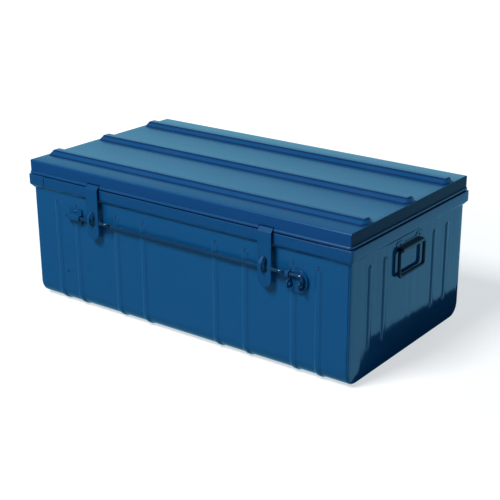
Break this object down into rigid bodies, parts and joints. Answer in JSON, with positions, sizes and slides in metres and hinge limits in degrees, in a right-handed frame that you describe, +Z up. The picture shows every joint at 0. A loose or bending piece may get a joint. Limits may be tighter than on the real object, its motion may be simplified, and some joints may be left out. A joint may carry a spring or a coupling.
{
  "type": "storage trunk",
  "caption": "Ribbed sheet-steel trunk with a hinged lid, two front hasps, one sliding lock bar with a padlock eye, and a drop handle on each end.",
  "frame": {"origin": "on the floor, under the middle of the whole box of the part at rest", "axes": "+X along the length towards the padlock end, +Y towards the hinges, +Z up"},
  "size_m": [0.818, 0.4714, 0.3167],
  "materials": {
    "blue_enamel": "gloss",
    "blue_hardware": "gloss",
    "painted_wire": "gloss"
  },
  "bodies": {
    "trunk": {"body_wrap": "blue_enamel", "end_panel_left": "blue_enamel", "end_panel_right": "blue_enamel", "rim_strip_front": "blue_enamel", "rim_strip_back": "blue_enamel", "rim_strip_left": "blue_enamel", "rim_strip_right": "blue_enamel", "bar_guide_left": "blue_hardware", "bar_guide_right": "blue_hardware", "padlock_plate": "blue_hardware", "padlock_lug": "blue_hardware", "latch_rivets": "painted_wire", "hinge_body_leaf_left": "blue_hardware", "hinge_body_leaf_right": "blue_hardware", "hinge_pin_left": "painted_wire", "hinge_pin_right": "painted_wire", "hinge_rivets_body": "painted_wire", "handle_plate_left": "blue_hardware", "handle_plate_right": "blue_hardware", "handle_rivets_left": "painted_wire", "handle_rivets_right": "painted_wire"},
    "lid": {"lid_sheet": "blue_enamel", "lid_end_left": "blue_enamel", "lid_end_right": "blue_enamel", "lid_edge_wire": "painted_wire", "hinge_lid_leaf_left": "blue_hardware", "hinge_lid_leaf_right": "blue_hardware", "hinge_rivets_lid": "painted_wire"},
    "hasp_left": {"hasp_left": "blue_hardware"},
    "hasp_right": {"hasp_right": "blue_hardware"},
    "lock_bar": {"lock_bar": "painted_wire", "bolt_finger_left": "painted_wire", "bolt_finger_right": "painted_wire"},
    "bail_left": {"handle_bail_left": "painted_wire"},
    "bail_right": {"handle_bail_right": "painted_wire"}
  },
  "joints": [
    {"name": "lid_hinge", "type": "hinge", "parent": "trunk", "child": "lid", "pos_m": [0, 0.23222, 0.2767], "axis": [-1, 0, 0], "range_deg": [0, 105]},
    {"name": "hasp_left_swing", "type": "hinge", "parent": "lid", "child": "hasp_left", "pos_m": [-0.218, -0.21732, 0.2802], "axis": [-1, 0, 0], "range_deg": [0, 90]},
    {"name": "hasp_right_swing", "type": "hinge", "parent": "lid", "child": "hasp_right", "pos_m": [0.218, -0.21732, 0.2802], "axis": [-1, 0, 0], "range_deg": [0, 90]},
    {"name": "lock_bar_slide", "type": "slide", "parent": "trunk", "child": "lock_bar", "axis": [-1, 0, 0], "range_m": [0, 0.022]},
    {"name": "bail_left_swing", "type": "hinge", "parent": "trunk", "child": "bail_left", "pos_m": [-0.4042, -0.00082, 0.2247], "axis": [0, 1, 0], "range_deg": [0, 150]},
    {"name": "bail_right_swing", "type": "hinge", "parent": "trunk", "child": "bail_right", "pos_m": [0.4042, -0.00082, 0.2247], "axis": [0, -1, 0], "range_deg": [0, 150]}
  ]
}
